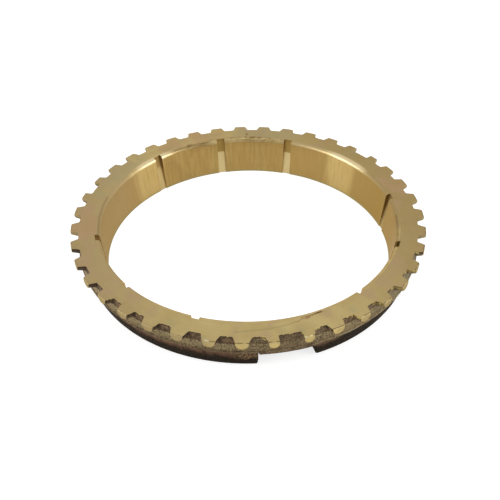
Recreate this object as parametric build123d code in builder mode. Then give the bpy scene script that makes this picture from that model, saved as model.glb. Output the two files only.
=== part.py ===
import os
from math import cos, pi, radians, sin, tan

from build123d import *

os.makedirs("parts", exist_ok=True)

# Synchronizer ring: one forged and turned brass piece.
# The ring's axis is Z. The lip rests on z = 0 and one key slot is centred on -Y.

# Overall size
tip_radius = 55.0
ring_height = 12.8

# Blocker teeth, in equal sectors that run from the middle of one wide gap to the next
sector_count = 3
teeth_per_sector = 13
tooth_height = 2.4
tooth_straight_side = 0.45
tooth_gap_at_root = 3.35
flank_angle = 18.5
back_angle = 17.0
tip_chamfer = 0.25
wide_gap_width = 6.4
wide_gap_flare = 4.0

# Flange wall that carries the teeth, down to the shoulder
flange_depth = 6.4
gap_floor_depth = 2.5
gap_ledge = 0.15
shoulder_ledge = 0.3
shoulder_ledge_height = 0.8
shoulder_bevel = 0.55

# Lip below the shoulder, and the key slots in it
lip_step = 1.75
lip_draft = 2.0
lip_rounding = 1.1
key_slot_width = 16.0
key_slot_corner = 0.9
key_wall = 1.6

# Friction cone, the rounding at its mouth and the oil grooves
lip_thickness = 6.0
cone_angle = 6.2
cone_foot_chamfer = 0.15
mouth_rounding = 1.1
grooves_per_sector = 3
groove_width = 2.7
groove_depth_at_mouth = 1.4
groove_depth_at_foot = 0.3

# Radii, from the outside in
root_radius = tip_radius - tooth_height
wall_radius = root_radius + gap_ledge
shoulder_radius = wall_radius + shoulder_ledge
lip_radius = root_radius - lip_step
cone_slope = tan(radians(cone_angle))
cone_foot_radius = lip_radius - lip_thickness
cone_top_radius = cone_foot_radius + ring_height * cone_slope

# Levels
shoulder_z = ring_height - flange_depth
gap_floor_z = ring_height - gap_floor_depth
clear = 1.0
reach = 2 * tip_radius

# Angles round the ring
sector_angle = 360 / sector_count
tooth_count = sector_count * teeth_per_sector
pitch_angle = 360 / tooth_count
key_angle = -90
groove_step = sector_angle / (grooves_per_sector + 1)

# Half widths of a tooth: a whole side falls off to the tip, a side on a wide gap follows that gap
half_pitch = radians(pitch_angle / 2)
root_half_width = pi * root_radius / tooth_count - tooth_gap_at_root / 2


def whole_side(x):
    return root_half_width - (x - root_radius) * tan(radians(flank_angle))


def wide_gap_side(x):
    half_gap = wide_gap_width / 2 + (x - root_radius) * tan(radians(wide_gap_flare))
    return x * sin(half_pitch) - half_gap * cos(half_pitch)


# A tooth pointing along +X is straight at its sides and fully rounded at its back,
# and the narrow teeth beside a wide gap are as deep as the others
def tooth_section(x, left, right):
    tip_depth = tooth_straight_side + whole_side(tip_radius)
    depth = tip_depth + (tip_radius - x) * tan(radians(back_angle))
    middle = (right - left) / 2
    side_z = ring_height - depth + (left + right) / 2
    with BuildSketch(Plane.YZ.offset(x)) as section:
        with BuildLine():
            Polyline((-left, side_z), (-left, ring_height), (right, ring_height), (right, side_z))
            ThreePointArc((right, side_z), (middle, ring_height - depth), (-left, side_z))
        make_face()
    return section.sketch


# Turned outside of the flange, with a small chamfer round its top edge
with BuildPart() as turned_outside:
    Cylinder(tip_radius, ring_height, align=(Align.CENTER, Align.CENTER, Align.MIN))
    chamfer(turned_outside.edges().group_by(Axis.Z)[-1], tip_chamfer)


def tooth_solid(left_side):
    inner_x = root_radius - clear
    outer_x = tip_radius + clear
    with BuildPart() as solid:
        inner = tooth_section(inner_x, left_side(inner_x), whole_side(inner_x))
        outer = tooth_section(outer_x, left_side(outer_x), whole_side(outer_x))
        loft(sections=[inner, outer], ruled=True)
        add(turned_outside.part, mode=Mode.INTERSECT)
    return solid.part


whole_tooth = tooth_solid(whole_side)
side_tooth = tooth_solid(wide_gap_side)

# A key slot, open at the foot and to the outside, that leaves a thin wall along the cone
with BuildPart() as key_slot:
    with BuildSketch(Plane.XZ) as slot_outline:
        with Locations((0, shoulder_z / 2)):
            Rectangle(key_slot_width, shoulder_z)
        with Locations((0, -clear / 2)):
            Rectangle(key_slot_width + 4 * clear, clear)
        foot_corners = slot_outline.vertices().filter_by_position(Axis.Y, -clear / 4, clear / 4)
        fillet(foot_corners.sort_by(lambda corner: abs(corner.X))[:2], key_slot_corner)
    extrude(amount=tip_radius)
    with Locations((0, 0, -clear)):
        Cone(
            cone_foot_radius + key_wall - clear * cone_slope,
            cone_foot_radius + key_wall + shoulder_z * cone_slope,
            shoulder_z + clear,
            align=(Align.CENTER, Align.CENTER, Align.MIN),
            mode=Mode.SUBTRACT,
        )

# Bevel under the shoulder, only over the lip and not over the key slots
with BuildPart() as bevel:
    with BuildSketch(Plane.XZ):
        with BuildLine():
            Polyline(
                (shoulder_radius + clear, shoulder_z + shoulder_bevel + clear),
                (shoulder_radius - shoulder_bevel - clear / 4, shoulder_z - clear / 4),
                (shoulder_radius + clear, shoulder_z - clear / 4),
                close=True,
            )
        make_face()
    revolve(axis=Axis.Z)
    with PolarLocations(0, sector_count, start_angle=key_angle):
        Box(reach, key_slot_width, 4 * ring_height, align=(Align.MIN, Align.CENTER, Align.CENTER), mode=Mode.SUBTRACT)

# An oil groove along +X, deeper at the mouth than at the foot
with BuildPart() as groove:
    with BuildSketch(Plane.XZ):
        with BuildLine():
            Polyline(
                (cone_foot_radius / 2, 0),
                (cone_foot_radius + groove_depth_at_foot, 0),
                (cone_top_radius + groove_depth_at_mouth, ring_height),
                (cone_foot_radius / 2, ring_height),
                close=True,
            )
        make_face()
    extrude(amount=groove_width / 2, both=True)

with BuildPart() as synchro_ring:
    # Flange wall, shoulder and drafted lip
    with BuildSketch(Plane.XZ):
        with BuildLine():
            Polyline(
                (0, 0),
                (lip_radius, 0),
                (lip_radius + shoulder_z * tan(radians(lip_draft)), shoulder_z),
                (shoulder_radius, shoulder_z),
                (shoulder_radius, shoulder_z + shoulder_ledge_height),
                (wall_radius, shoulder_z + shoulder_ledge_height + shoulder_ledge),
                (wall_radius, gap_floor_z - gap_ledge),
                (root_radius, gap_floor_z),
                (root_radius, ring_height),
                (0, ring_height),
                close=True,
            )
        make_face()
    revolve(axis=Axis.Z)
    fillet(synchro_ring.edges().filter_by_position(Axis.Z, 0, 0), lip_rounding)
    add(bevel.part, mode=Mode.SUBTRACT)

    # Blocker teeth, with the narrow ones on both sides of each wide gap
    for place in range(1, teeth_per_sector - 1):
        with PolarLocations(0, sector_count, start_angle=key_angle + (place + 0.5) * pitch_angle):
            add(whole_tooth)
    with PolarLocations(0, sector_count, start_angle=key_angle + pitch_angle / 2):
        add(side_tooth)
    with PolarLocations(0, sector_count, start_angle=key_angle - pitch_angle / 2):
        add(mirror(side_tooth, about=Plane.XZ))

    # Friction cone and its mouth
    with BuildSketch(Plane.XZ):
        with BuildLine():
            Polyline(
                (0, -clear),
                (cone_foot_radius - clear * cone_slope, -clear),
                (cone_top_radius + clear * cone_slope, ring_height + clear),
                (0, ring_height + clear),
                close=True,
            )
        make_face()
    revolve(axis=Axis.Z, mode=Mode.SUBTRACT)
    foot_edges = synchro_ring.edges().filter_by_position(Axis.Z, -clear / 10, clear / 10)
    chamfer(foot_edges.sort_by(SortBy.RADIUS)[0], cone_foot_chamfer)
    top_edges = synchro_ring.edges().filter_by_position(Axis.Z, ring_height, ring_height)
    fillet(top_edges.filter_by(GeomType.CIRCLE).sort_by(SortBy.RADIUS)[0], mouth_rounding)

    # Key slots
    with PolarLocations(0, sector_count):
        add(key_slot.part, mode=Mode.SUBTRACT)

    # Oil grooves
    for step in range(1, grooves_per_sector + 1):
        with PolarLocations(0, sector_count, start_angle=key_angle + step * groove_step):
            add(groove.part, mode=Mode.SUBTRACT)

synchro_ring.part.label = "synchro_ring"
export_step(synchro_ring.part, "parts/synchro_ring.step")
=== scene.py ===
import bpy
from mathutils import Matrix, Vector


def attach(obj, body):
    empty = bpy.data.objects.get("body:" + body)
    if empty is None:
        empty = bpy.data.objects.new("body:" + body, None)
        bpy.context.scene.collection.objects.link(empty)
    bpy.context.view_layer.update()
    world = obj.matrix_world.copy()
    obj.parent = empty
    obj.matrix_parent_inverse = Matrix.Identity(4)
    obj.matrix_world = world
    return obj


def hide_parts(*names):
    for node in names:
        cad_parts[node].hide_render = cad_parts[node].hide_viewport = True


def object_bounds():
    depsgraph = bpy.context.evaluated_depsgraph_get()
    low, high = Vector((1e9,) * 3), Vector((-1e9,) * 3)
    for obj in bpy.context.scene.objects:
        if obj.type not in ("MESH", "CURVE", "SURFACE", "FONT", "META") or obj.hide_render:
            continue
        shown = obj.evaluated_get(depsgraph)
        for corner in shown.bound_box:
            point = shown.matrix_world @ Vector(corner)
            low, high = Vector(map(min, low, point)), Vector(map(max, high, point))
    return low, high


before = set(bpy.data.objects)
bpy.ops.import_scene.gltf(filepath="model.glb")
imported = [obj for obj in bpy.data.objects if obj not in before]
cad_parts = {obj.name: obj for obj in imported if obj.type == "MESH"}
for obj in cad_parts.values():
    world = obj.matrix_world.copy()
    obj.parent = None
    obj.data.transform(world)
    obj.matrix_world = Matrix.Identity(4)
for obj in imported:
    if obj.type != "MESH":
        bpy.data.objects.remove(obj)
low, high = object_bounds()

from math import asin, cos, exp, pi, radians, sin, sqrt, tan

import bmesh
import bpy
from mathutils import Matrix, Vector, noise

# Driving sizes in millimetres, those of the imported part, with the skin a hair inside it
MM = 0.001
ring_height = (high[2] - low[2]) / MM
skin_inset = 0.01
tip_radius = (high[0] - low[0]) / 2 / MM - skin_inset
sectors = 3
teeth_per_sector = 13
tooth_height = 2.4
straight_side = 0.45
gap_at_root = 3.35
flank_slope = tan(radians(18.5))
back_slope = tan(radians(17.0))
tip_chamfer = 0.25
wide_gap = 6.4
wide_flare = tan(radians(4.0))
flange_depth = 6.4
gap_floor_depth = 2.5
gap_ledge = 0.15
shoulder_ledge = 0.3
shoulder_ledge_height = 0.8
shoulder_bevel = 0.55
lip_step = 1.75
lip_slope = tan(radians(2.0))
lip_rounding = 1.1
slot_width = 16.0
slot_corner = 0.9
slot_end_rounding = 0.55
key_wall = 1.6
lip_thickness = 6.0
cone_angle = radians(6.2)
foot_chamfer = 0.15
mouth_rounding = 1.1
grooves_per_sector = 3
groove_width = 2.7
groove_at_mouth = 1.4
groove_at_foot = 0.3

# Sizes of the wear and the as-forged detail that the plain part leaves out
mouth_wear = 0.05
mouth_wear_width = 0.9
relief = 0.07
edge_wander = 0.1
end_rounding = 0.12
corner_radius = 0.45
corner_spread = 0.3
remnant_size = 0.75
corner_depth = 0.4
least_fade = 0.3
inner_corner = 0.2
slot_bevel = 0.06
slot_inner_corner = 0.25
slot_foot = 0.65
foot_margin = 0.1
wide_gap_steepness = 12
slot_bend_reach = radians(4)

# Relief: shares of even depth, broad and fine grains and the shift upright, which spares the rim
even_relief = 0.55
broad_relief = 0.45
fine_relief = 0.25
upright_relief = 0.3
still_rim = 0.3

# Distances from an edge to the next points, which keep the edge crisp
below_ledge = 0.12
above_bevel = 0.08
above_slot = 0.04
beside_slot = 0.05
slot_foot_step = 0.01

root_radius = tip_radius - tooth_height
wall_radius = root_radius + gap_ledge
shoulder_radius = wall_radius + shoulder_ledge
lip_radius = root_radius - lip_step
cone_foot = lip_radius - lip_thickness
cone_slope = tan(cone_angle)
cone_top = cone_foot + ring_height * cone_slope
mouth_radius = cone_top + mouth_rounding * (1 - sin(cone_angle)) / cos(cone_angle)
shoulder_z = ring_height - flange_depth
gap_floor_z = ring_height - gap_floor_depth

teeth = sectors * teeth_per_sector
sector = 2 * pi / sectors
pitch = 2 * pi / teeth
start = radians(-90)
root_half = pi * root_radius / teeth - gap_at_root / 2
tip_depth = straight_side + root_half - tooth_height * flank_slope
groove_step = sector / (grooves_per_sector + 1)

# Half angles of a key slot at the lip and of a groove halfway up the cone
slot_edge = asin(slot_width / 2 / lip_radius)
groove_edge = groove_width / (cone_foot + mouth_radius)

# Zones of the surface
FORGED, TURNED, END, EDGE, CONE, MOUTH, GROOVE, GROOVE_WALL, LIP, FOOT, SLOT_END = range(11)

# Points of a tooth: three on top, one under the chamfer, down the end, one on its rounding, then the back
TOOTH_TOP_POINTS, END_STEPS, BACK_STEPS = 3, 5, 5
BACK_START = TOOTH_TOP_POINTS + END_STEPS + 2

# Points of one column round the section, run by run, and where each run ends
TOP_END = 2
TOOTH_POINTS = BACK_START + 1 + BACK_STEPS
TOOTH_END = TOP_END + TOOTH_POINTS
WALL_POINTS = 16
WALL_END = TOOTH_END + WALL_POINTS
SHOULDER_END = WALL_END + 4
LIP_POINTS = 10
LIP_END = SHOULDER_END + LIP_POINTS
ROUND_POINTS = 5
ROUND_END = LIP_END + ROUND_POINTS
LAST_WORN = ROUND_END - 2
FOOT_POINTS = 4
FOOT_END = ROUND_END + FOOT_POINTS
CONE_STEPS = 5
CONE_END = FOOT_END + CONE_STEPS
MOUTH_STEPS = 7
ROW_END = CONE_END + 1 + MOUTH_STEPS

# Columns across a tooth, a gap, a wide gap, and at the edge of a slot and of a groove
TOOTH_COLUMNS, GAP_COLUMNS, WIDE_GAP_COLUMNS, SLOT_COLUMNS, GROOVE_COLUMNS = 15, 9, 17, 5, 3
slot_column_step = 0.0006
groove_column_step = 0.0005


def steps(count):
    return [i / count for i in range(1, count + 1)]


def lerp(a, b, t):
    return tuple(p + (q - p) * t for p, q in zip(a, b))


def quarter(distance, size):
    """How far a rounding of this size still stands off, at a distance from its edge."""
    if distance >= size:
        return 0.0
    return size - sqrt(size * size - (size - max(distance, 0.0)) ** 2)


def whole(r):
    return root_half - (r - root_radius) * flank_slope


def beside_wide_gap(r):
    half_gap = wide_gap / 2 + (r - root_radius) * wide_flare
    return r * sin(pitch / 2) - half_gap * cos(pitch / 2)


def corner_size(tooth, side):
    """The radius at the root of a tooth's side, different at each corner, with a remnant left in one."""
    remnant = remnant_size if tooth % teeth == 0 and side > 0 else 0.0
    place = Vector((tooth * 3.7 + 0.4, side * 11.3, 0.5))
    return corner_radius + remnant + corner_spread * noise.noise(place)


# One tooth: out along the top, down its rounded end and back along its underside to the wall
def tooth_run(tooth, s):
    index = tooth % teeth_per_sector
    centre = start + (tooth + 0.5) * pitch
    left = beside_wide_gap if index == 0 else whole
    right = beside_wide_gap if index == teeth_per_sector - 1 else whole

    def at(r):
        half = (left(r) + right(r)) / 2
        depth = tip_depth + (tip_radius - r) * back_slope
        z = ring_height - depth + half - half * sqrt(max(0.0, 1 - s * s))
        return centre + asin(((right(r) - left(r)) / 2 + half * s) / r), z

    size = corner_size(tooth, -1) * (1 - s) / 2 + corner_size(tooth, 1) * (1 + s) / 2
    inner = root_radius + size
    top = ring_height - tip_chamfer
    radii = (inner, (inner + tip_radius) / 2, tip_radius - tip_chamfer)
    points = [(r, at(r)[0], ring_height) for r in radii]
    theta, low_z = at(tip_radius)
    edge = min(end_rounding, (top - low_z) / 3)
    points.append((tip_radius, theta, top))
    points += [(tip_radius, theta, top + (low_z + edge - top) * f) for f in steps(END_STEPS)]
    points.append((tip_radius - 0.3 * edge, theta, low_z + 0.3 * edge))
    for f in [0.0] + steps(BACK_STEPS):
        r = tip_radius - edge + (inner - tip_radius + edge) * f
        points.append((r,) + at(r))
    return points


# Shares of the height at which the points stand beside a tooth's side
BESIDE_TOOTH = [0, 0.03, 0.07, 0.12, 0.2, 0.28, 0.36, 0.44, 0.52, 0.58, 0.64, 0.7, 0.77, 0.84, 0.92, 1]


# The wall of a gap over as many points as a tooth's, which hugs a tooth's side at the gap's ends
def gap_run(theta, radius, depth, hug):
    even = [0.0] + steps(TOOTH_POINTS - 1)
    shares = [a * hug + b * (1 - hug) for a, b in zip(BESIDE_TOOTH, even)]
    return [(radius, theta, ring_height - depth * share) for share in shares]


def wall_line(z, wide):
    """Radius of the flange's wall at a height. A wide gap has a steep slope in place of the ledge."""
    r = root_radius
    if z < gap_floor_z:
        drop = gap_floor_z - z
        r += min(gap_ledge, drop) if not wide else min(gap_ledge, drop / wide_gap_steepness)
    step_z = shoulder_z + shoulder_ledge_height + shoulder_ledge
    return min(shoulder_radius, r + max(0.0, step_z - z))


def wall_run(first, wide, low_theta, bevel):
    """Points from the tooth run's end down to the shoulder's lower edge."""
    r0, theta0, z0 = first
    step_z = shoulder_z + shoulder_ledge_height + shoulder_ledge
    ledge_z = step_z - shoulder_ledge
    bevel_z = shoulder_z + bevel
    heights = [z0 + (step_z - z0) * f for f in steps(WALL_POINTS - 4)]
    heights += [ledge_z, ledge_z - below_ledge, bevel_z + above_bevel, bevel_z]
    stand = r0 - wall_line(z0, wide)
    reach = max(stand, least_fade)
    points = []
    for z in heights:
        fade = quarter(z0 - z, reach) / reach
        f = (z0 - z) / (z0 - shoulder_z)
        points.append((wall_line(z, wide) + stand * fade, theta0 + (low_theta - theta0) * f, z))
    return points


def slot_bend(r, phi):
    """The slot's side walls are parallel, so their angle depends on the radius."""
    off = (abs(phi) - slot_edge) / slot_bend_reach
    turn = (asin(slot_width / 2 / r) - slot_edge) * exp(-off * off)
    return turn if phi > 0 else -turn


def lip_run(phi):
    """Shoulder, lip, rounding and foot on a column that crosses the lip."""
    distance = (abs(phi) - slot_edge) * lip_radius
    back = quarter(distance, slot_end_rounding)
    rise = quarter(distance, slot_corner)
    top_r = lip_radius + shoulder_z * lip_slope - back
    points = [
        (shoulder_radius - shoulder_bevel * 0.5, shoulder_z + shoulder_bevel * 0.5),
        (shoulder_radius - shoulder_bevel, shoulder_z),
        (top_r + inner_corner, shoulder_z),
        (top_r + inner_corner / 5, shoulder_z - inner_corner / 4),
    ]
    for f in [0.0] + steps(LIP_POINTS - 1):
        z = shoulder_z - inner_corner + (lip_rounding - shoulder_z + inner_corner) * f
        points.append((lip_radius + z * lip_slope - back, z))
    for f in steps(ROUND_POINTS):
        r = lip_radius - back - lip_rounding * (1 - cos(f * pi / 2))
        points.append((r, lip_rounding * (1 - sin(f * pi / 2))))
    inner = cone_foot + key_wall
    points += [((points[-1][0] + inner) / 2, 0.0), (inner + 0.02, 0.0)]
    points = [(r, z + rise * (1 - z / shoulder_z)) for r, z in points]
    return points + [(inner, 0.0), (cone_foot + foot_chamfer, 0.0)]


def slot_run():
    """The same points on a column that crosses a key slot."""
    inner = cone_foot + key_wall
    top_r = inner + shoulder_z * cone_slope
    points = [
        (shoulder_radius, shoulder_z + above_slot),
        (shoulder_radius - slot_bevel, shoulder_z),
        (top_r + 2 * slot_inner_corner, shoulder_z),
        (top_r + 0.6 * slot_inner_corner, shoulder_z - beside_slot),
    ]
    for f in [0.0] + steps(LIP_POINTS - 1):
        z = shoulder_z - slot_inner_corner + (slot_foot + slot_inner_corner - shoulder_z) * f
        points.append((inner + z * cone_slope, z))
    for f in steps(ROUND_POINTS):
        z = (slot_foot - beside_slot) * (1 - f)
        points.append((inner + z * cone_slope, z))
    points += [(inner - slot_foot_step * i, 0.0) for i in range(1, FOOT_POINTS)]
    return points + [(cone_foot + foot_chamfer, 0.0)]


# Cone and the rounding at its mouth, plain or along an oil groove
def cone_run(groove):
    crown = ring_height - mouth_wear
    end_z = crown - mouth_rounding * (1 - sin(cone_angle))
    heights = [foot_chamfer + (end_z - foot_chamfer) * f for f in [0.0] + steps(CONE_STEPS)]
    plain = [(cone_foot + z * cone_slope, z) for z in heights]
    for f in steps(MOUTH_STEPS):
        tilt = (pi / 2 - cone_angle) * (1 - f)
        r = mouth_radius - mouth_rounding * sin(tilt)
        plain.append((r, crown - mouth_rounding * (1 - cos(tilt))))
    if not groove:
        return plain
    foot, head = cone_foot + groove_at_foot, cone_top + groove_at_mouth
    return [(foot + (head - foot) * z / ring_height, z) for r, z in plain]


def rough(theta, r, z, scale, seed):
    """Noise between about -1 and 1, with grains of about the scale in millimetres."""
    place = Vector((r * cos(theta), r * sin(theta), z)) / scale
    return noise.fractal(place + Vector((seed * 7.3, seed * 3.1, seed * 5.7)), 0.9, 2.1, 4)


# Columns round the ring, each with its place on the outside and what it crosses
class Column:
    def __init__(self, kind, run, wide=False, edge=None, share=0.0):
        self.kind = kind
        self.run = run
        self.theta = run[-1][1]
        self.wide = wide
        self.edge = edge
        self.share = share
        self.low = self.inner = None


def side_end(tooth, side):
    """The column at the end of a gap, in the corner beside a tooth."""
    run = tooth_run(tooth, side)
    radius, theta, bottom = run[-1]
    return gap_run(theta, radius, ring_height - bottom, hug=1.0)


def gap_columns(left_tooth, right_tooth, extras):
    """Columns in the gap between two teeth, and those at edges below or inside it."""
    a, b = side_end(left_tooth, 1), side_end(right_tooth, -1)
    from_theta, to_theta = a[0][1], b[0][1]
    wide = right_tooth % teeth_per_sector == 0
    count = WIDE_GAP_COLUMNS if wide else GAP_COLUMNS
    places = []
    for i in range(1, count - 1):
        x = 2 * i / (count - 1) - 1
        u = x * (1.5 - 0.5 * x * x)
        places.append((from_theta + (to_theta - from_theta) * (u + 1) / 2, None, 0.0))
    places += [e for e in extras if from_theta < e[0] < to_theta]
    made = [Column("gap", a, wide)]
    for theta, edge, share in sorted(places, key=lambda place: place[0]):
        u = 2 * (theta - from_theta) / (to_theta - from_theta) - 1
        left_corner = quarter((theta - from_theta) * root_radius, corner_size(left_tooth, 1))
        right_corner = quarter((to_theta - theta) * root_radius, corner_size(right_tooth, -1))
        radius = root_radius + left_corner + right_corner
        depth = corner_depth + (gap_floor_depth - corner_depth) * sqrt(1 - u * u)
        made.append(Column("gap", gap_run(theta, radius, depth, u ** 8), wide, edge, share))
    return made + [Column("gap", b, wide)]


def tooth_columns(tooth, extras):
    """Flank, tooth and flank."""
    before, after = side_end(tooth, -1), side_end(tooth, 1)
    left, right = tooth_run(tooth, -1), tooth_run(tooth, 1)
    places = [(sin(pi * f - pi / 2), None, 0.0) for f in [0.0] + steps(TOOTH_COLUMNS - 1)]
    for theta, edge, share in extras:
        t0, t1 = left[0][1], right[0][1]
        if t0 < theta < t1:
            places.append((2 * (theta - t0) / (t1 - t0) - 1, edge, share))
    made = [Column("flank", [lerp(p, q, 0.5) for p, q in zip(before, left)])]
    for s, edge, share in sorted(places, key=lambda place: place[0]):
        made.append(Column("tooth", tooth_run(tooth, s), False, edge, share))
    made.append(Column("flank", [lerp(p, q, 0.5) for p, q in zip(after, right)]))
    return made


def edge_places():
    """Where a key slot or a groove begins or ends: a few columns close together."""
    places = []
    for j in range(sectors):
        middle = start + j * sector
        for side in (-1, 1):
            for i, share in enumerate([0.0] + steps(SLOT_COLUMNS - 1)):
                off = (i - SLOT_COLUMNS // 2) * slot_column_step
                places.append((middle + side * (slot_edge + off), "slot", share))
        for place in range(1, grooves_per_sector + 1):
            for side in (-1, 1):
                for i, share in enumerate([0.0] + steps(GROOVE_COLUMNS - 1)):
                    off = (i - GROOVE_COLUMNS // 2) * groove_column_step
                    theta = middle + place * groove_step + side * (groove_edge + off)
                    places.append((theta, "groove", share))
    return places


def turned(theta):
    """The same angle within one turn from the first wide gap."""
    return start + (theta - start) % (2 * pi)


def all_columns():
    extras = [(turned(theta), edge, share) for theta, edge, share in edge_places()]
    extras += [(theta + 2 * pi, edge, share) for theta, edge, share in extras]
    made = []
    for tooth in range(teeth):
        made += tooth_columns(tooth, extras)
        made += gap_columns(tooth, tooth + 1, extras)
    return made


def spread(columns, kind, edge_angle):
    """Even angles for the inside or the lower part, fixed where a slot or a groove has its edge."""
    count = len(columns)
    spacing = sector if kind == "slot" else groove_step
    once = []
    for i, column in enumerate(columns):
        if column.edge == kind:
            middle = start + round((column.theta - start) / spacing) * spacing
            side = 1 if column.theta > middle else -1
            once.append((i, middle + side * edge_angle))
    fixed = [(i + turn * count, theta + turn * 2 * pi) for turn in (-1, 0, 1) for i, theta in once]
    angles = []
    at = 0
    for i in range(count):
        while fixed[at + 1][0] <= i:
            at += 1
        (i0, t0), (i1, t1) = fixed[at], fixed[at + 1]
        angles.append(t0 + (t1 - t0) * (i - i0) / (i1 - i0))
    return angles


def full_row(column):
    """Every point of one column, as radius and height in millimetres and an angle between them."""
    middle = start + round((column.low - start) / sector) * sector
    phi = column.low - middle
    lip_share = column.share if column.edge == "slot" else float(abs(phi) > slot_edge)
    groove_share = groove_part(column)
    run = column.run
    bevel = slot_bevel + (shoulder_bevel - slot_bevel) * lip_share
    wall = wall_run(run[-1], column.wide, column.low, bevel)
    lower = [lerp(p, q, lip_share) for p, q in zip(slot_run(), lip_run(phi))]
    inside = [lerp(p, q, groove_share) for p, q in zip(cone_run(False), cone_run(True))]
    last_foot = max(lower[-1][0], inside[0][0] + foot_margin * groove_share)
    lower[-1] = (last_foot, 0.0)
    turn_points = FOOT_POINTS + 1
    row = []
    for i, (r, z) in enumerate(lower):
        turn = max(0, i - (len(lower) - turn_points)) / turn_points
        theta = column.low + slot_bend(r, phi) * (1 - turn)
        row.append((r, theta + (column.inner - column.low) * turn, z))
    row += [(r, column.inner, z) for r, z in inside]
    mouth = row[-1]
    flat = (mouth_radius + mouth_wear_width, mouth[1], ring_height)
    top = [flat, lerp(flat, run[0], 0.5)]
    return top + run + wall + row


def groove_part(column):
    """One where the column's inside runs along an oil groove, and zero on the plain cone."""
    if column.edge == "groove":
        return 1 - column.share
    nearest = round((column.inner - start) / groove_step)
    middle = start + nearest * groove_step
    over_slot = nearest % (grooves_per_sector + 1) == 0
    return 0.0 if over_slot else float(abs(column.inner - middle) < groove_edge)


def zone_of(i, a, b):
    """The zone of the face between points i and i + 1 of columns a and b."""
    if i < TOP_END:
        return TURNED
    if i < TOOTH_END - 1:
        k = i - TOP_END
        if a.kind != "tooth" or b.kind != "tooth" or k >= BACK_START - 1:
            return FORGED
        if k >= TOOTH_TOP_POINTS:
            return END
        return EDGE if k == TOOTH_TOP_POINTS - 1 else TURNED
    if i < SHOULDER_END:
        end_wall = a.edge == "slot" and b.edge == "slot"
        return SLOT_END if end_wall and i > WALL_END else FORGED
    if i < ROUND_END:
        return SLOT_END if a.edge == "slot" and b.edge == "slot" else LIP
    if i < FOOT_END:
        return FOOT
    if i == ROW_END - 1:
        return TURNED
    if a.edge == "groove" and b.edge == "groove":
        return GROOVE_WALL
    if groove_part(a) + groove_part(b) > 0.01:
        return GROOVE
    return CONE if i < CONE_END else MOUTH


def worn(row, column):
    """Relief of the forged skin, which never stands proud of the plain part."""
    first = TOP_END + BACK_START if column.kind == "tooth" else TOP_END
    points = []
    for i, (r, theta, z) in enumerate(row):
        if first <= i < LAST_WORN:
            broad = rough(theta, r, z, scale=1.5, seed=1)
            fine = rough(theta, r, z, scale=0.4, seed=2)
            fade = 1.0 if i < LIP_END else (LAST_WORN - i) / ROUND_POINTS
            r -= relief * fade * (even_relief + broad_relief * broad + fine_relief * fine)
            if i == TOP_END:
                theta += edge_wander * rough(theta, r, z, scale=0.9, seed=3) / r
            elif z < ring_height - still_rim:
                z += upright_relief * relief * fade * rough(theta, r, z, scale=0.8, seed=4)
        points.append((r, theta, min(max(z, 0.0), ring_height)))
    return points


# Points closer than this many metres become one, and edges bent more than this angle stay sharp
weld_distance = 2e-6
sharp_angle = radians(32)


def build_ring():
    columns = all_columns()
    low_angles = spread(columns, "slot", slot_edge)
    inner_angles = spread(columns, "groove", groove_edge)
    for column, low_theta, inner_theta in zip(columns, low_angles, inner_angles):
        column.low = low_theta
        column.inner = inner_theta
    mesh = bmesh.new()
    zone = mesh.faces.layers.int.new("zone_id")
    grid = []
    for column in columns:
        row = worn(full_row(column), column)
        grid.append([mesh.verts.new((r * MM * cos(t), r * MM * sin(t), z * MM)) for r, t, z in row])
    count, length = len(grid), len(grid[0])
    for j in range(count):
        k = (j + 1) % count
        for i in range(length):
            n = (i + 1) % length
            face = mesh.faces.new((grid[j][i], grid[j][n], grid[k][n], grid[k][i]))
            face[zone] = zone_of(i, columns[j], columns[k])
            face.smooth = True
    bmesh.ops.remove_doubles(mesh, verts=mesh.verts, dist=weld_distance)
    bmesh.ops.recalc_face_normals(mesh, faces=mesh.faces)
    data = bpy.data.meshes.new("ring_skin")
    mesh.to_mesh(data)
    mesh.free()
    values = data.attributes.new("zone", "FLOAT", "FACE")
    for i, item in enumerate(data.attributes["zone_id"].data):
        values.data[i].value = float(item.value)
    data.set_sharp_from_angle(angle=sharp_angle)
    ring = bpy.data.objects.new("ring_skin", data)
    bpy.context.scene.collection.objects.link(ring)
    return ring


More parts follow.
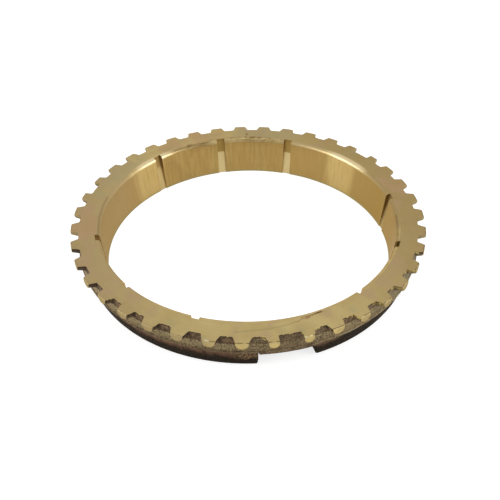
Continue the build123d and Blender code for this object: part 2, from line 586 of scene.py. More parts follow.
class Graph:
    """Short ways to add shader nodes to one tree."""

    def __init__(self, tree):
        self.tree = tree
        self.tree.nodes.clear()

    def put(self, socket, value):
        if isinstance(value, bpy.types.NodeSocket):
            self.tree.links.new(value, socket)
        elif hasattr(socket.default_value, "__len__") and not hasattr(value, "__len__"):
            socket.default_value = [value] * len(socket.default_value)
        else:
            socket.default_value = value

    def add(self, kind, inputs=None, **settings):
        node = self.tree.nodes.new("ShaderNode" + kind)
        for name, value in settings.items():
            setattr(node, name, value)
        for name, value in (inputs or {}).items():
            self.put(node.inputs[name], value)
        return node

    def calc(self, operation, *values, clamp=False):
        inputs = dict(enumerate(values))
        return self.add("Math", inputs, operation=operation, use_clamp=clamp).outputs[0]

    def times(self, *values):
        result = values[0]
        for value in values[1:]:
            result = self.calc("MULTIPLY", result, value)
        return result

    def plus(self, *values):
        result = values[0]
        for value in values[1:]:
            result = self.calc("ADD", result, value)
        return result

    def ease(self, value, start, end, full=1.0, low=0.0):
        """Smooth from low at the start to full at the end."""
        inputs = {0: value, 1: start, 2: end, 3: low, 4: full}
        return self.add("MapRange", inputs, interpolation_type="SMOOTHSTEP").outputs[0]

    def blend(self, share, a, b, kind="MIX"):
        node = self.add("Mix", None, data_type="RGBA", blend_type=kind)
        for index, value in ((0, share), (6, a), (7, b)):
            self.put(node.inputs[index], value)
        return node.outputs[2]

    def vector(self, x, y, z):
        return self.add("CombineXYZ", {0: x, 1: y, 2: z}).outputs[0]

    def cloud(self, place, scale, detail=3.0, rough=0.5, bend=0.0):
        inputs = {"Vector": place, "Scale": scale, "Detail": detail, "Roughness": rough, "Distortion": bend}
        return self.add("TexNoise", inputs).outputs["Fac"]


def colour(red, green, blue):
    """A colour as it looks on a screen, made linear."""
    levels = [part / 255 for part in (red, green, blue)]
    return tuple(v / 12.92 if v < 10 / 255 else ((v + 0.055) / 1.055) ** 2.4 for v in levels) + (1,)


# Turned top
PALE_BRASS = colour(196, 176, 122)
WARM_BRASS = colour(184, 162, 110)
TOP_RIGHT = colour(160, 137, 94)
TOP_LEFT = colour(160, 138, 104)
PINK_TINT = colour(178, 150, 118)
GREEN_TINT = colour(166, 158, 118)
PINK_PATCH = colour(184, 150, 116)
GREY_PATCH = colour(168, 156, 124)
TURNING_RING = colour(150, 132, 88)
TOP_GRAIN = colour(145, 126, 84)
TOP_GLINT = colour(226, 208, 164)
SCRATCH_RED = colour(146, 94, 68)
SCRATCH_DARK = colour(90, 70, 44)
FAINT_ARC = colour(140, 134, 92)
SMEAR = colour(124, 98, 66)

# Tooth ends and the rim round them
END_LIGHT = colour(198, 178, 122)
END_DARK = colour(184, 166, 116)
END_YELLOW = colour(196, 172, 100)
END_SIDE_SHADE = colour(158, 141, 104)
RIM_DARK = colour(82, 62, 40)
RIM_HIGHLIGHT = colour(244, 232, 196)

# Friction cone
CONE_LEFT = colour(172, 149, 107)
CONE_RIGHT = colour(162, 134, 80)
CONE_FRONT_RIGHT = colour(174, 149, 106)
CONE_FRONT_LEFT = colour(158, 142, 114)
CONE_DARK = colour(154, 126, 74)
CONE_LIGHT = colour(170, 143, 86)
CONE_WARM = colour(164, 133, 76)
CONE_GREEN = colour(160, 140, 78)
CONE_THREAD = colour(140, 112, 62)
# Painted highlight on the cone
CONE_HIGHLIGHT = colour(202, 176, 116)
CONE_LOW = colour(150, 142, 92)

# Mouth
MOUTH_LIGHT = colour(200, 178, 126)
MOUTH_DARK = colour(186, 162, 108)
MOUTH_OFF_GLINT_SHADE = colour(180, 159, 117)
MOUTH_RIGHT_SHADE = colour(162, 138, 88)
MOUTH_ARC = colour(112, 94, 64)
SHADE_LEFT = colour(152, 130, 86)
SHADE_RIGHT = colour(178, 158, 114)
GLINT = colour(232, 214, 172)
STAIN = colour(116, 86, 54)

# Oil grooves and their sides
GROOVE_PALE = colour(204, 184, 132)
GROOVE_UPPER = colour(158, 130, 72)
GROOVE_TOP_SHADE = colour(126, 100, 58)
GROOVE_ASIDE = colour(168, 146, 98)
GROOVE_LEFT = colour(178, 154, 102)
GROOVE_LEFT_TOP_SHADE = colour(142, 116, 68)
WALL_LOW = colour(186, 156, 102)
WALL_HIGH_SHADE = colour(150, 122, 76)
WALL_FOOT_LIT = colour(204, 178, 126)
WALL_RIGHT_SHADE = colour(118, 88, 34)
WALL_FRONT_LIT = colour(206, 184, 132)

# Forged skin and its rusted scale, with painted shade and highlights
RUST_SHADE_DARK = colour(74, 53, 41)
RUST_SHADE_LIGHT = colour(122, 95, 68)
RUST_SHADE_LINE = colour(62, 45, 37)
RUST_SHADE_PALE = colour(150, 120, 90)
RUST_SHADE_DEEP = colour(46, 32, 24)
SKIN_DARK = colour(134, 116, 84)
SKIN_LIGHT = colour(152, 132, 97)
SKIN_LINE = colour(86, 68, 50)
SKIN_RIGHT = colour(108, 104, 82)
SKIN_WIDE_GAP = colour(108, 88, 66)
SKIN_BLOTCH = colour(74, 58, 43)
BRIGHT_GRAIN = colour(184, 170, 124)
DARK_GRAIN = colour(62, 48, 37)
BARE_GRAIN = colour(188, 170, 124)
DEEP_BROWN = colour(48, 36, 28)
FLANK_SHADE = colour(42, 31, 25)
FLANK_GOLD = colour(204, 178, 96)
SMEARED_BRASS = colour(200, 180, 112)
FAR_FLANK_PALE = colour(168, 148, 104)
UNDER_LEDGE = colour(84, 65, 50)
UNDER_PALE = colour(160, 134, 98)
UNDER_DARK = colour(44, 33, 26)
LEDGE_HIGHLIGHT = colour(150, 136, 104)
SKIN_CREASE_SHADE = colour(58, 43, 33)

# Lip, slot ends and painted shade in creases
LIP_DARK = colour(50, 37, 30)
LIP_COPPER = colour(126, 93, 71)
LIP_RIGHT = colour(88, 78, 54)
LIP_BLACK = colour(17, 14, 12)
LIP_SPECK = colour(136, 104, 80)
LIP_END_BROWN = colour(112, 86, 62)
LIP_END_PALE = colour(182, 150, 108)
LIP_PIT = colour(30, 22, 17)
LIP_SPOT = colour(24, 18, 15)
SLOT_BLACK = colour(26, 20, 16)
CREASE_SHADE = colour(30, 22, 14)

# Tint of the shine
SHEEN = colour(222, 206, 176)

# Soft spots: angle in degrees, radius and two widths in millimetres, and a strength if it is not one
PINK_SPOTS = [(104, 51, 20, 6), (176, 51, 14, 6), (8, 51, 9, 6, 0.5)]
GREY_SPOTS = [(70, 51, 16, 6), (136, 51, 14, 6)]
# Spots of painted highlight on the cone
CONE_HIGHLIGHT_SPOTS = [(126.5, 46, 9, 3), (33, 46, 8, 3)]
GLINT_SPOTS = [(122.5, 46.9, 10, 2.2), (30.5, 46.9, 11, 1.8)]
SHADE_LEFT_SPOTS = [(104, 46.5, 10.5, 2.4, 0.85)]
SHADE_RIGHT_SPOTS = [(52, 46.5, 12.5, 2.4, 0.85)]
MOUTH_STAIN_SPOTS = [(101, 46.9, 8, 1.1), (72.5, 46.9, 11, 1.1), (87, 46.9, 5, 0.8, 0.5)]
TOP_STAIN_SPOTS = [(95.5, 47.7, 4, 0.8), (79, 47.6, 8, 0.6)]
SMEAR_SPOTS = [(78.3, 49.4, 0.8, 1, 0.6)]
RED_SPOTS = [(-82.8, 48.1, 0.9, 0.42, 0.7)]
DARK_SPOTS = [(-78.4, 47.6, 1.5, 0.36, 0.9)]
LIP_END_SPOTS = [(-101, lip_radius, 6, 3)]
rim_radius = tip_radius - tip_chamfer
RIM_HIGHLIGHT_SPOTS = [
    (-113.7, rim_radius, 0.9, 0.2), (-86.1, rim_radius, 0.6, 0.2), (-84.5, rim_radius, 0.5, 0.2),
]

# Radius at which the widths of spots along the angle are measured
spot_radius = 50.0

# Thin marks, as lines of places with a radius in millimetres and an angle in degrees
LEFT_ARC = [(47, 154), (46.9, 160), (46.8, 168), (46.7, 178)]
RIGHT_ARC = [(46.3, -12), (46.5, -20), (46.7, -26), (46.9, -32)]
FRONT_ARC = [(50.9, -106), (50.3, -101.6), (50, -95.5), (49, -87.7)]
SCRATCH = [
    (48.6, -87.3), (48.9, -86.4), (48.5, -85.8), (48.2, -84.4),
    (48.5, -83.2), (48.1, -82.1), (47.9, -80.4), (47.5, -78.4),
]
SCRATCH_SHADE = [(47.7, -84.8), (47.6, -81.2), (47.3, -77.6)]

# Reach of the painted shade in creases, and the softening of edges, for the shading alone
crease_shade_reach = 1.2
soft_edge = 0.1


class Surface(Graph):
    """A graph that also knows where a point lies on the ring, in millimetres and radians."""

    def __init__(self, tree):
        super().__init__(tree)
        place = self.add("TexCoord").outputs["Object"]
        self.mm = self.add("VectorMath", {0: place, "Scale": 1 / MM}, operation="SCALE").outputs[0]
        self.x, self.y, self.z = self.add("SeparateXYZ", {0: self.mm}).outputs
        self.r = self.calc("SQRT", self.plus(self.times(self.x, self.x), self.times(self.y, self.y)))
        self.angle = self.calc("ARCTAN2", self.y, self.x)
        self.way_x = self.calc("DIVIDE", self.x, self.r)
        self.way_y = self.calc("DIVIDE", self.y, self.r)
        self.aside = self.calc("ABSOLUTE", self.way_x)
        self.zone = self.add("Attribute", attribute_name="zone", attribute_type="GEOMETRY").outputs["Fac"]
        self.make_grains()

    def round_cloud(self, around, upright, detail, rough):
        """Noise with one scale round the ring and another upright."""
        place = self.vector(
            self.times(self.way_x, around), self.times(self.way_y, around), self.times(self.z, upright)
        )
        return self.cloud(place, 1.0, detail, rough)

    def make_grains(self):
        """Noises that several parts of the material use."""
        rings = self.vector(self.times(self.way_x, 1.5), self.times(self.way_y, 1.5), self.times(self.r, 5.0))
        self.rings = self.cloud(rings, 1.0, 3, 0.7)
        self.grain = self.cloud(self.mm, 3.0, 3, 0.6)
        self.streak = self.cloud(self.vector(self.x, self.y, self.times(self.z, 0.03)), 1.1, 4, 0.65)
        self.threads = self.round_cloud(1.2, 6.0, 2, 0.5)
        self.stain_lines = self.round_cloud(22.0, 4.5, 3, 0.6)
        self.speck = self.cloud(self.mm, 2.6, 4, 0.8)
        self.fine = self.cloud(self.vector(self.z, self.x, self.y), 4.5, 3, 0.7)
        self.level = self.round_cloud(16.0, 2.4, 3, 0.65)
        self.blotch = self.round_cloud(44.0, 1.7, 4, 0.7)
        self.broad_skin = self.cloud(self.mm, 0.22, 3, 0.6)

    def only(self, *names):
        """One in the named zones and zero elsewhere."""
        found = [self.calc("COMPARE", self.zone, float(name), 0.4) for name in names]
        return self.plus(*found) if len(found) > 1 else found[0]

    def without(self, share):
        return self.calc("SUBTRACT", 1.0, share)

    def band(self, value, start, full, fade, end):
        """One between full and fade, and nothing before start or after end."""
        return self.times(self.ease(value, start, full), self.ease(value, end, fade))

    def near(self, theta, radius, width_angle, width_r, strength=1.0):
        """A soft spot at a polar place, wide along the angle and along the radius."""
        da = self.times(self.calc("SUBTRACT", self.angle, radians(theta)), spot_radius / width_angle)
        dr = self.times(self.calc("SUBTRACT", self.r, radius), 1.0 / width_r)
        return self.ease(self.plus(self.times(da, da), self.times(dr, dr)), 1.0, 0.2, strength)

    def spots(self, places):
        return self.plus(*[self.near(*place) for place in places])

    def stroke(self, width, places):
        """A thin mark along a line of polar places."""
        flat = self.vector(self.x, self.y, 0.0)
        points = [Vector((radius * cos(radians(t)), radius * sin(radians(t)), 0)) for radius, t in places]
        distance = None
        for a, b in zip(points, points[1:]):
            way = b - a
            unit = tuple(way / way.length_squared)
            from_a = self.add("VectorMath", {0: flat, 1: tuple(a)}, operation="SUBTRACT").outputs[0]
            along = self.add("VectorMath", {0: from_a, 1: unit}, operation="DOT_PRODUCT").outputs["Value"]
            along = self.calc("MULTIPLY", along, 1.0, clamp=True)
            foot = self.add("VectorMath", {0: tuple(way), "Scale": along}, operation="SCALE").outputs[0]
            off = self.add("VectorMath", {0: from_a, 1: foot}, operation="DISTANCE").outputs["Value"]
            distance = off if distance is None else self.calc("MINIMUM", distance, off)
        return self.ease(distance, width, width * 0.35)

    def layers(self, base, *coats):
        """Colours laid over one another, each followed by its shares, which are multiplied."""
        for tone, *shares in coats:
            base = self.blend(self.times(*shares), base, tone)
        return base


def turned_top(s):
    """Pale brass with soft pinkish and greyish patches and fine rings, duller at both sides."""
    patches = s.cloud(s.mm, 0.09, 3, 0.55, 0.6)
    tint = s.cloud(s.vector(s.y, s.x, s.plus(s.z, 31.0)), 0.13, 2, 0.5)
    return s.layers(
        s.blend(s.ease(patches, 0.3, 0.7), PALE_BRASS, WARM_BRASS),
        (TOP_RIGHT, s.ease(s.x, 10.0, 50.0, 0.75)),
        (TOP_LEFT, s.ease(s.x, -25.0, -52.0, 0.6)),
        (PINK_TINT, s.ease(tint, 0.52, 0.68, 0.6)),
        (GREEN_TINT, s.ease(tint, 0.44, 0.3, 0.4)),
        (PINK_PATCH, s.spots(PINK_SPOTS), s.ease(patches, 0.25, 0.55), 0.5),
        (GREY_PATCH, s.spots(GREY_SPOTS), s.ease(patches, 0.25, 0.5), 0.5),
        (TURNING_RING, s.ease(s.rings, 0.35, 0.75, 0.22)),
        (TOP_GRAIN, s.ease(s.grain, 0.55, 0.75, 0.16)),
    )


def tooth_end(s):
    """Yellower towards its back, and darker at both sides of the ring as painted shade."""
    return s.layers(
        s.blend(s.ease(s.cloud(s.mm, 0.5), 0.35, 0.65), END_LIGHT, END_DARK),
        (END_YELLOW, s.ease(s.z, ring_height - 0.8, ring_height - 2.2, 0.55)),
        # Painted shade at both sides of the ring
        (END_SIDE_SHADE, s.ease(s.aside, 0.15, 0.55, 0.85)),
    )


def friction_cone(s):
    """Upright soft streaks over fine level turning lines, brighter in two spots of painted highlight."""
    broad = s.cloud(s.vector(s.x, s.y, s.times(s.z, 0.05)), 0.12, 2, 0.5)
    side_tone = s.layers(
        s.blend(s.ease(s.x, -10.0, 10.0), CONE_LEFT, CONE_RIGHT),
        (CONE_FRONT_RIGHT, s.ease(s.x, 20.0, 30.0), s.ease(s.y, 6.0, -6.0)),
        (CONE_FRONT_LEFT, s.ease(s.x, -20.0, -30.0), s.ease(s.y, 10.0, -5.0)),
    )
    return s.layers(
        s.blend(s.ease(s.streak, 0.35, 0.66), CONE_DARK, CONE_LIGHT),
        (CONE_WARM, s.ease(broad, 0.4, 0.65, 0.6)),
        (CONE_GREEN, s.ease(broad, 0.42, 0.3, 0.5)),
        (CONE_THREAD, s.ease(s.threads, 0.45, 0.75, 0.2)),
        (side_tone, s.ease(s.aside, 0.5, 0.95, 0.8)),
        # Painted highlight in two soft spots
        (CONE_HIGHLIGHT, s.spots(CONE_HIGHLIGHT_SPOTS), s.ease(s.streak, 0.2, 0.6, 1.0, 0.5), 0.62),
        (CONE_LOW, s.ease(s.z, 1.4, 0.2, 0.5)),
    )


def rounded_mouth(s, off_glint, glints):
    """Bright with painted glints on the far side, painted shade beside them and at its right end, and a dark
    arc on each side.
    """
    arcs = s.plus(s.times(s.stroke(0.45, LEFT_ARC), 0.33), s.times(s.stroke(0.7, RIGHT_ARC), 0.3))
    return s.layers(
        s.blend(s.ease(s.cloud(s.mm, 0.35), 0.35, 0.65), MOUTH_LIGHT, MOUTH_DARK),
        # Painted shade away from the glints and at the right end
        (MOUTH_OFF_GLINT_SHADE, off_glint, 0.9),
        (MOUTH_RIGHT_SHADE, s.ease(s.way_x, 0.93, 0.97, 0.5)),
        (MOUTH_ARC, arcs),
        (SHADE_LEFT, s.spots(SHADE_LEFT_SPOTS)),
        (SHADE_RIGHT, s.spots(SHADE_RIGHT_SPOTS)),
        (GLINT, glints, 0.75),
    )


def oil_groove(s):
    """Pale below, and like the cone above, with painted shade at its top."""
    floor_z = s.plus(s.z, s.times(s.cloud(s.mm, 0.6), 0.5))
    on_left = s.ease(s.x, -15.0, -20.0)
    return s.layers(
        s.blend(s.ease(floor_z, 7.9, 8.5), GROOVE_PALE, GROOVE_UPPER),
        # Painted shade at the top of the groove
        (GROOVE_TOP_SHADE, s.ease(s.z, 11.4, 12.6, 0.35)),
        (GROOVE_ASIDE, s.ease(s.aside, 0.7, 0.9, 0.6)),
        (GROOVE_LEFT, on_left, 0.8),
        (GROOVE_LEFT_TOP_SHADE, on_left, s.ease(floor_z, 8.6, 9.6, 0.8)),
    )


def groove_side(s):
    """Dark on the right and high up as painted shade, and pale in front and low down as painted light."""
    return s.layers(
        # Painted shade high up and on the right, painted light low down and in front
        s.blend(s.ease(s.z, 10.6, 12.7), WALL_LOW, WALL_HIGH_SHADE),
        (WALL_FOOT_LIT, s.ease(s.z, 8.5, 6.0, 0.8)),
        (WALL_RIGHT_SHADE, s.ease(s.x, 28.0, 36.0, 0.7), s.ease(s.z, 1.0, 5.0)),
        (WALL_FRONT_LIT, s.ease(s.y, 0.0, -20.0)),
    )


def rust_and_shade(s):
    """Brown scale with level lines and blotches, laid at the top of a gap as rusted scale and painted shade.
    """
    return s.layers(
        s.blend(s.ease(s.fine, 0.42, 0.58), RUST_SHADE_DARK, RUST_SHADE_LIGHT),
        (RUST_SHADE_LINE, s.ease(s.level, 0.48, 0.6, 0.7)),
        (RUST_SHADE_PALE, s.ease(s.blotch, 0.5, 0.4, 0.6)),
        (RUST_SHADE_DEEP, s.ease(s.blotch, 0.5, 0.58, 0.6)),
    )


def forged_skin(s):
    """Rusty brown with painted shade at the top of a gap, paler and grainy below, with bright and dark
    grains.
    """
    in_gap = s.times(s.calc("WRAP", s.plus(s.angle, pi / 2), pitch / 2, -pitch / 2), root_radius)
    in_sector = s.calc("PINGPONG", s.plus(s.angle, pi / 2 + 2 * sector), sector / 2)
    unscaled = s.times(s.ease(in_sector, pitch * 1.4, pitch * 1.1), s.ease(s.x, 30.0, 18.0))
    on_right = s.ease(s.x, 14.0, 26.0)

    # Bright grains, fewer in the wide gaps and towards the right
    narrow = s.ease(in_sector, pitch * 0.4, pitch * 0.6)
    high = s.ease(s.z, shoulder_z + 1.6, gap_floor_z, 1.0, 0.35)
    fewer = s.times(s.ease(s.x, 5.0, 25.0, 0.45, 0.9), s.plus(0.25, s.times(narrow, 0.75)))
    bright = s.times(s.ease(s.speck, 0.5, 0.56), high, fewer)

    # Rust and painted shade above a wandering line, which lies higher on the right
    sunk = s.ease(s.x, 18.0, 36.0, -1.3)
    depth = s.plus(s.z, s.times(s.cloud(s.mm, 0.5), 0.9), s.times(s.speck, 0.6), sunk)
    above_line = s.ease(depth, gap_floor_z + 0.55, gap_floor_z + 0.75, 0.95)
    rust_and_shade_share = s.times(above_line, s.ease(s.x, 12.0, 32.0, 0.7, 1.0), s.without(s.times(unscaled, 0.45)))

    # Dark upper edge, painted shade on the left flanks, and gold flanks in front on the right
    dark_edge = s.times(s.ease(s.z, ring_height - 0.7, ring_height - 0.35), s.ease(s.fine, 0.35, 0.5))
    upper = s.ease(s.z, gap_floor_z, gap_floor_z + 0.7)
    left_flank_shade = s.times(s.ease(in_gap, -1.15, -1.5), upper, s.ease(s.x, 8.0, -18.0))
    top_part = s.ease(s.z, ring_height - 1.4, ring_height - 1.0)
    shiny = s.times(on_right, s.ease(in_gap, 0.3, 0.9), top_part, s.ease(s.y, -30.0, -36.0))

    # Brass smeared over the top edge, and flanks paler on the far side
    reach = s.times(s.ease(s.cloud(s.mm, 0.9), 0.5, 0.64), s.ease(s.x, -30.0, 40.0, 1.3, 0.35))
    smeared = s.ease(s.plus(s.z, reach), ring_height + 0.05, ring_height + 0.2)
    smeared = s.times(smeared, s.without(s.times(on_right, s.ease(in_gap, 0.5, -0.3))))
    far_pale = s.ease(s.plus(s.y, s.times(s.x, 0.26), s.times(s.fine, 6.0)), -11.0, -7.0)
    far_pale_from = s.ease(s.plus(s.z, s.ease(s.y, 0.0, 15.0, -1.1)), 10.3, 10.9)
    far_pale = s.times(far_pale, far_pale_from, s.ease(s.y, 46.0, 36.0, 1.0, 0.3))

    # Darker under the ledge, and pale on it as a painted highlight
    below = s.ease(s.plus(s.z, s.times(s.speck, 0.8)), shoulder_z + 1.9, shoulder_z + 1.3)
    ledge = s.band(s.z, shoulder_z + 0.5, shoulder_z + 0.65, shoulder_z + 0.9, shoulder_z + 1.2)
    pale = s.times(ledge, s.ease(s.level, 0.4, 0.6, 0.8, 0.05), s.ease(s.x, -30.0, 20.0, 1.0, 0.25))

    return s.layers(
        s.blend(s.ease(s.broad_skin, 0.35, 0.65), SKIN_DARK, SKIN_LIGHT),
        (SKIN_LINE, s.ease(s.level, 0.5, 0.7, 0.5)),
        (SKIN_RIGHT, s.ease(s.x, 20.0, 38.0, 0.6)),
        (SKIN_WIDE_GAP, unscaled, 0.5),
        (SKIN_BLOTCH, s.ease(s.blotch, 0.5, 0.58, 0.55)),
        (BRIGHT_GRAIN, bright),
        (DARK_GRAIN, s.ease(s.speck, 0.48, 0.4, 0.95)),
        # Rusted scale, and painted shade at the top of a gap
        (rust_and_shade(s), rust_and_shade_share),
        (BARE_GRAIN, s.ease(s.fine, 0.58, 0.7, 0.6)),
        (DEEP_BROWN, dark_edge, 0.75),
        # Painted shade on the left flanks
        (FLANK_SHADE, left_flank_shade, s.ease(s.fine, 0.62, 0.5), 0.8),
        (FLANK_GOLD, shiny, s.ease(s.fine, 0.49, 0.55), 0.9),
        (SMEARED_BRASS, smeared),
        (FAR_FLANK_PALE, far_pale),
        (UNDER_LEDGE, below, s.ease(s.x, 8.0, 25.0, 0.25, 0.75)),
        (UNDER_PALE, below, s.ease(s.fine, 0.5, 0.58, 0.7)),
        (UNDER_DARK, below, s.ease(s.speck, 0.49, 0.42, 0.8)),
        (DEEP_BROWN, below, s.ease(s.blotch, 0.5, 0.56, 0.6)),
        # Painted highlight on the ledge
        (LEDGE_HIGHLIGHT, pale),
    )


def lip_skin(s):
    """Copper-brown above, black at the lower edge from dark scale and painted contact shade, mottled at the
    left end in front.
    """
    height = s.plus(s.z, s.times(s.cloud(s.mm, 0.35, 4, 0.6), 2.4))
    raised = s.plus(height, s.ease(s.x, 8.0, 24.0, -2.2))
    lip_end = s.times(s.spots(LIP_END_SPOTS), s.ease(height, 3.2, 4.6))
    pits = s.cloud(s.mm, 1.7, 3, 0.6)
    return s.layers(
        s.blend(s.ease(height, 3.8, 6.2), LIP_DARK, LIP_COPPER),
        (LIP_RIGHT, s.ease(s.x, 6.0, 16.0, 0.7)),
        # Dark scale and painted contact shade at the lower edge
        (LIP_BLACK, s.ease(raised, 5.0, 3.4)),
        (LIP_SPECK, s.ease(s.speck, 0.54, 0.66, 0.55)),
        (LIP_END_BROWN, lip_end, 0.6),
        (LIP_END_PALE, lip_end, s.ease(s.speck, 0.5, 0.56), 0.7),
        (LIP_PIT, lip_end, s.ease(pits, 0.52, 0.57), 0.9),
        (LIP_SPOT, s.ease(s.cloud(s.mm, 0.9, 3, 0.6), 0.58, 0.66, 0.8)),
    )


def marked_top(s, glints):
    """The turned top with a glint along the mouth, a scratch, a faint arc and level stains."""
    red = s.plus(s.stroke(0.16, SCRATCH), s.spots(RED_SPOTS))
    dark = s.plus(s.stroke(0.2, SCRATCH_SHADE), s.spots(DARK_SPOTS))
    scratched = s.only(TURNED, MOUTH)
    level_stain = s.times(s.spots(TOP_STAIN_SPOTS), s.ease(s.stain_lines, 0.4, 0.62))
    smear = s.plus(s.spots(SMEAR_SPOTS), s.times(level_stain, 0.6))
    return s.layers(
        turned_top(s),
        (TOP_GLINT, glints, s.ease(s.r, mouth_radius + 1.0, mouth_radius + 0.3, 0.7)),
        (SCRATCH_RED, scratched, red, 0.8),
        (SCRATCH_DARK, scratched, dark, s.ease(s.fine, 0.3, 0.5), 0.8),
        (FAINT_ARC, s.only(TURNED), s.stroke(0.5, FRONT_ARC), 0.3),
        (SMEAR, s.only(TURNED), smear),
    )


def rim_line(s):
    """The thin dark line round the top edge of the tooth ends, fainter on the left."""
    line = s.band(s.r, rim_radius - 0.1, rim_radius - 0.04, rim_radius + 0.05, rim_radius + 0.11)
    line = s.times(line, s.ease(s.cloud(s.mm, 0.7), 0.36, 0.5))
    return s.times(line, s.ease(s.x, -10.0, -30.0, 0.4, 1.0))


def base_colour(s, off_glint):
    """Every zone in its own colour, with painted shade in creases."""
    glints = s.spots(GLINT_SPOTS)
    ends = s.only(TURNED, EDGE)
    stain = s.times(s.spots(MOUTH_STAIN_SPOTS), s.ease(s.stain_lines, 0.44, 0.6))
    base = s.layers(
        marked_top(s, glints),
        (forged_skin(s), s.only(FORGED)),
        (tooth_end(s), s.only(END, EDGE)),
        (RIM_DARK, ends, rim_line(s)),
        # Painted highlights at a few places on the rim
        (RIM_HIGHLIGHT, ends, s.spots(RIM_HIGHLIGHT_SPOTS), 0.6),
        (friction_cone(s), s.only(CONE)),
        (rounded_mouth(s, off_glint, glints), s.only(MOUTH)),
        (STAIN, s.only(MOUTH, CONE, TURNED), stain, 0.62),
        (oil_groove(s), s.only(GROOVE)),
        (groove_side(s), s.only(GROOVE_WALL)),
        (lip_skin(s), s.only(LIP)),
        (SLOT_BLACK, s.only(SLOT_END)),
    )
    # Painted shade in creases, measured by ambient occlusion
    occlusion = s.add("AmbientOcclusion", {"Distance": crease_shade_reach * MM}, samples=6).outputs["AO"]
    skin_crease_shade = s.times(s.only(FORGED), s.ease(occlusion, 0.8, 0.35, 0.85))
    base = s.blend(skin_crease_shade, base, SKIN_CREASE_SHADE)
    crease_shade = s.times(s.ease(occlusion, 0.75, 0.2), s.blend(s.only(GROOVE, GROOVE_WALL), 0.8, 0.08))
    return s.blend(crease_shade, base, s.blend(0.7, base, CREASE_SHADE, "MULTIPLY"))


def roughness(s, oxide, off_glint):
    return s.layers(
        s.plus(0.42, s.times(s.calc("SUBTRACT", s.grain, 0.5), 0.2)),
        (s.ease(s.x, -5.0, -25.0, 0.5, 0.36), s.only(CONE)),
        (s.blend(off_glint, 0.42, 0.6), s.only(MOUTH, GROOVE)),
        (0.62, s.only(END, EDGE, GROOVE_WALL)),
        (0.6, oxide),
        (0.8, s.only(LIP)),
    )


def relief_height(s, oxide):
    """Turning marks and grains in millimetres."""
    turned_marks = s.times(s.only(TURNED), s.times(s.rings, 0.006))
    cone_marks = s.plus(s.times(s.threads, 0.012), s.times(s.streak, 0.01))
    marks = s.plus(turned_marks, s.times(s.only(CONE), cone_marks))
    small = s.plus(s.times(s.speck, 0.12), s.times(s.fine, 0.05))
    grains = s.plus(small, s.times(s.broad_skin, 0.1), s.times(s.level, 0.06))
    return s.plus(marks, s.times(oxide, grains))


def brass_material():
    material = bpy.data.materials.new("brass")
    material.use_nodes = True
    s = Surface(material.node_tree)
    off_glint = s.plus(s.ease(s.way_x, -0.68, -0.78), s.ease(s.way_x, 0.925, 0.955))
    oxide = s.only(FORGED, LIP, SLOT_END)
    edges = s.add("Bevel", {"Radius": soft_edge * MM}, samples=4).outputs[0]
    bump_inputs = {"Height": relief_height(s, oxide), "Distance": MM, "Strength": 1.0, "Normal": edges}
    shader = s.add("BsdfPrincipled", {
        "Base Color": base_colour(s, off_glint),
        "Roughness": roughness(s, oxide, off_glint),
        "Metallic": s.without(s.times(oxide, 0.55)),
        "Normal": s.add("Bump", bump_inputs).outputs[0],
    })
    shader.inputs["Specular Tint"].default_value = SHEEN
    out = s.add("OutputMaterial")
    s.tree.links.new(shader.outputs[0], out.inputs[0])
    return material


ring = build_ring()
ring.data.materials.append(brass_material())
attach(ring, "root")
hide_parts("synchro_ring")

# Curled burr: millimetres out from the wall and radians along the edge
burr_radius = 0.08
burr_drop = 0.12
burr_start = start - pitch + 0.008
BURR_PATH = [(0.1, 0.0012), (0.3, 0.0016), (0.5, 0.002), (0.95, 0.024), (1.6, 0.026), (2.1, 0.021)]


def curled_burr():
    """A burr that stands off the top edge of the gap left of the front wide gap."""
    line = bpy.data.curves.new("burr", "CURVE")
    line.dimensions = "3D"
    line.bevel_depth = burr_radius * MM
    line.bevel_resolution = 2
    spline = line.splines.new("NURBS")
    spline.points.add(len(BURR_PATH) - 1)
    for point, (out, along) in zip(spline.points, BURR_PATH):
        r, t = (root_radius + out) * MM, burr_start + along
        point.co = (r * cos(t), r * sin(t), (ring_height - burr_drop) * MM, 1)
    spline.order_u = 3
    spline.use_endpoint_u = True
    line.materials.append(ring.data.materials[0])
    burr = bpy.data.objects.new("burr", line)
    bpy.context.scene.collection.objects.link(burr)
    return burr


burr = curled_burr()
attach(burr, "root")

# Floor: bright enough to be white in the picture, with a faint shade under the ring
floor_glow = 0.7
camera_glow = 0.04
floor_half = 1.6


def floor_material():
    material = bpy.data.materials.new("pale_floor")
    material.use_nodes = True
    g = Graph(material.node_tree)
    ray = g.add("LightPath")
    seen = g.calc("MAXIMUM", ray.outputs["Is Camera Ray"], ray.outputs["Is Glossy Ray"])
    seen = g.calc("MAXIMUM", seen, ray.outputs["Is Transmission Ray"])
    plain = g.add("BsdfDiffuse", {"Color": (0.5, 0.5, 0.5, 1)})
    strength = g.plus(g.times(seen, floor_glow), g.times(ray.outputs["Is Camera Ray"], camera_glow))
    glow = g.add("Emission", {"Color": (1, 1, 1, 1), "Strength": strength})
    both = g.add("AddShader", {0: plain.outputs[0], 1: glow.outputs[0]})
    out = g.add("OutputMaterial")
    g.tree.links.new(both.outputs[0], out.inputs[0])
    return material


floor_mesh = bpy.data.meshes.new("floor")
corners = [(x * floor_half, y * floor_half, 0) for x, y in ((-1, -1), (1, -1), (1, 1), (-1, 1))]
floor_mesh.from_pydata(corners, [], [(0, 1, 2, 3)])
floor = bpy.data.objects.new("floor", floor_mesh)
bpy.context.scene.collection.objects.link(floor)
floor_mesh.materials.append(floor_material())

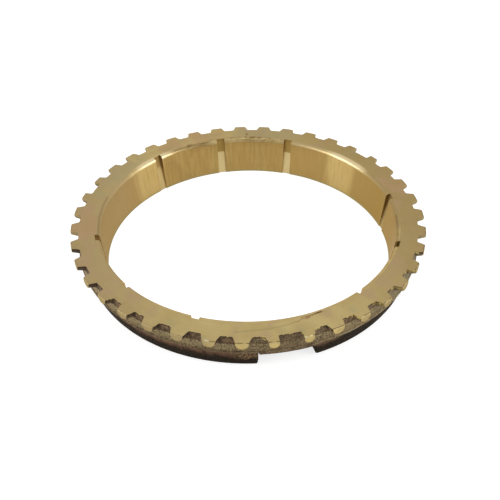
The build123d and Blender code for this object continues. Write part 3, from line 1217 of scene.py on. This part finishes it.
# Camera, fitted to the photograph: its place in millimetres and its angles
eye = Vector((-39.43563, -190.45663, 158.70946)) * MM
heading = radians(11.8436)
pitch_down = radians(39.3823)
roll = radians(0.7735)
level_look = Vector((sin(heading), cos(heading), 0))
level_right = Vector((cos(heading), -sin(heading), 0))
look = level_look * cos(pitch_down) - Vector((0, 0, sin(pitch_down)))
right = level_right * cos(roll) - level_right.cross(look) * sin(roll)

camera_data = bpy.data.cameras.new("camera")
camera_data.sensor_width = 36
camera_data.lens = 55.793
camera = bpy.data.objects.new("camera", camera_data)
bpy.context.scene.collection.objects.link(camera)
stand = Matrix((right, right.cross(look), -look)).transposed().to_4x4()
stand.translation = eye
camera.matrix_world = stand
bpy.context.scene.camera = camera


# Soft light: a pale room, dimmer in front, and a large soft lamp on each side
def room():
    world = bpy.data.worlds.new("room")
    bpy.context.scene.world = world
    world.use_nodes = True
    g = Graph(world.node_tree)
    way = g.add("TexCoord").outputs["Generated"]
    way_x, way_y, way_z = g.add("SeparateXYZ", {0: way}).outputs
    ahead = g.plus(g.times(way_x, level_look.x), g.times(way_y, level_look.y))
    toward = g.plus(g.times(ahead, 0.6), g.times(way_z, 0.8))
    strength = g.ease(toward, -0.2, 1.0, 0.95, 0.5)
    ray = g.add("LightPath")
    seen = g.calc("MAXIMUM", ray.outputs["Is Camera Ray"], ray.outputs["Is Transmission Ray"])
    strength = g.plus(g.times(strength, g.calc("SUBTRACT", 1.0, seen)), seen)
    back = g.add("Background", {"Color": (1, 1, 1, 1), "Strength": strength})
    out = g.add("OutputWorld")
    g.tree.links.new(back.outputs[0], out.inputs[0])


lamp_side = 0.55
lamp_forward = -0.17
lamp_height = 0.25
lamp_size = (0.35, 0.5)
lamp_power = 2.0


def lamp(name, side):
    """An area lamp on one side of the camera's view, turned to the ring."""
    across = Vector((right.x, right.y, 0)).normalized()
    data = bpy.data.lights.new(name, "AREA")
    data.shape = "RECTANGLE"
    data.size, data.size_y = lamp_size
    data.energy = lamp_power
    obj = bpy.data.objects.new(name, data)
    bpy.context.scene.collection.objects.link(obj)
    obj.location = across * side + level_look * lamp_forward + Vector((0, 0, lamp_height))
    obj.rotation_euler = (-obj.location).to_track_quat("-Z", "Y").to_euler()


room()
lamp("left_lamp", -lamp_side)
lamp("right_lamp", lamp_side)
bpy.context.scene.view_settings.view_transform = "Standard"
